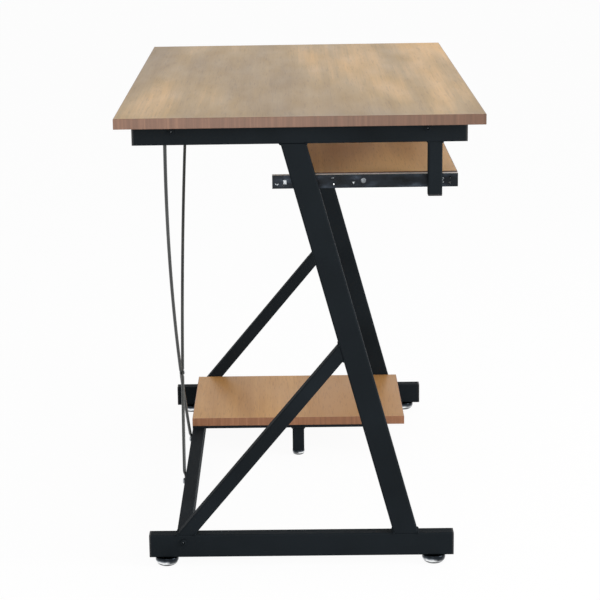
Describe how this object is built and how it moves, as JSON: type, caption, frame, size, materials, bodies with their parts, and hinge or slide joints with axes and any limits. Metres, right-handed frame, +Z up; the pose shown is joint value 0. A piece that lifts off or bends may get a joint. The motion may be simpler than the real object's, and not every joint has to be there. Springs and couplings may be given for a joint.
{
  "type": "computer desk with keyboard tray",
  "caption": "Rectangular wood-grain computer desk on Z-shaped steel side frames, with a sliding keyboard tray, a low side shelf, crossed brace rods and chrome levelling glides.",
  "frame": {"origin": "on the floor, under the middle of the desktop", "axes": "+X along the desktop towards the low shelf, +Y to the back, +Z up; the user sits at -Y"},
  "size_m": [1, 0.59, 0.773],
  "materials": {
    "board": "satin wood-grain melamine, grain along the length",
    "edge_band": "satin wood-grain edge banding",
    "frame_steel": "black powder coat, half gloss",
    "rod_steel": "black painted rod, half gloss",
    "fixings": "zinc plated",
    "slide_steel": "zinc plated rolled sheet",
    "chrome": "polished chrome plate",
    "plug_plastic": "black moulded plastic"
  },
  "bodies": {
    "frame": {"desktop_panel": "board", "desktop_edge_band": "edge_band", "shelf_panel": "board", "shelf_edge_band": "edge_band", "left_top_rail": "frame_steel", "right_top_rail": "frame_steel", "left_main_leg": "frame_steel", "right_main_leg": "frame_steel", "left_diagonal_brace": "frame_steel", "right_diagonal_brace": "frame_steel", "left_foot_tube": "frame_steel", "right_foot_tube": "frame_steel", "left_slide_hanger": "frame_steel", "right_slide_hanger": "frame_steel", "front_upper_crossbar": "frame_steel", "rear_upper_crossbar": "frame_steel", "rear_lower_crossbar": "frame_steel", "rear_brace_rod": "rod_steel", "front_brace_rod": "rod_steel", "rod_end_screws": "fixings", "rod_centre_screw": "fixings", "rod_centre_nut": "fixings", "shelf_bearer_inner": "frame_steel", "shelf_bearer_outer": "frame_steel", "shelf_middle_leg": "frame_steel", "shelf_screws": "fixings", "rail_end_plugs": "plug_plastic", "foot_end_plugs": "plug_plastic", "hanger_end_plugs": "plug_plastic", "frame_bolts": "fixings", "crossbar_nut_inserts": "fixings", "desktop_screws": "fixings", "left_slide_outer": "slide_steel", "right_slide_outer": "slide_steel", "slide_fixing_screws": "fixings", "foot_glide_nuts": "fixings", "middle_glide_nut": "fixings"},
    "tray": {"tray_panel": "board", "tray_edge_band": "edge_band", "left_slide_inner": "slide_steel", "right_slide_inner": "slide_steel", "tray_screws": "fixings"},
    "left_cage": {"left_ball_cage": "slide_steel", "left_slide_balls": "chrome"},
    "right_cage": {"right_ball_cage": "slide_steel", "right_slide_balls": "chrome"},
    "front_left_glide": {"front_left_glide_cup": "chrome", "front_left_glide_stud": "fixings"},
    "rear_left_glide": {"rear_left_glide_cup": "chrome", "rear_left_glide_stud": "fixings"},
    "front_right_glide": {"front_right_glide_cup": "chrome", "front_right_glide_stud": "fixings"},
    "rear_right_glide": {"rear_right_glide_cup": "chrome", "rear_right_glide_stud": "fixings"},
    "middle_glide": {"middle_glide_cup": "chrome", "middle_glide_stud": "fixings"}
  },
  "joints": [
    {"name": "tray_slide", "type": "slide", "parent": "frame", "child": "tray", "axis": [0, -1, 0], "range_m": [0, 0.2]},
    {"name": "left_cage_slide", "type": "slide", "parent": "frame", "child": "left_cage", "axis": [0, -1, 0], "range_m": [0, 0.1]},
    {"name": "right_cage_slide", "type": "slide", "parent": "frame", "child": "right_cage", "axis": [0, -1, 0], "range_m": [0, 0.1]},
    {"name": "front_left_glide_screw", "type": "slide", "parent": "frame", "child": "front_left_glide", "axis": [0, 0, -1], "range_m": [0, 0.008]},
    {"name": "rear_left_glide_screw", "type": "slide", "parent": "frame", "child": "rear_left_glide", "axis": [0, 0, -1], "range_m": [0, 0.008]},
    {"name": "front_right_glide_screw", "type": "slide", "parent": "frame", "child": "front_right_glide", "axis": [0, 0, -1], "range_m": [0, 0.008]},
    {"name": "rear_right_glide_screw", "type": "slide", "parent": "frame", "child": "rear_right_glide", "axis": [0, 0, -1], "range_m": [0, 0.008]},
    {"name": "middle_glide_screw", "type": "slide", "parent": "frame", "child": "middle_glide", "axis": [0, 0, -1], "range_m": [0, 0.008]}
  ],
  "couplings": [
    {"joint": "left_cage_slide", "follows": "tray_slide", "ratio": 0.5},
    {"joint": "right_cage_slide", "follows": "tray_slide", "ratio": 0.5}
  ]
}
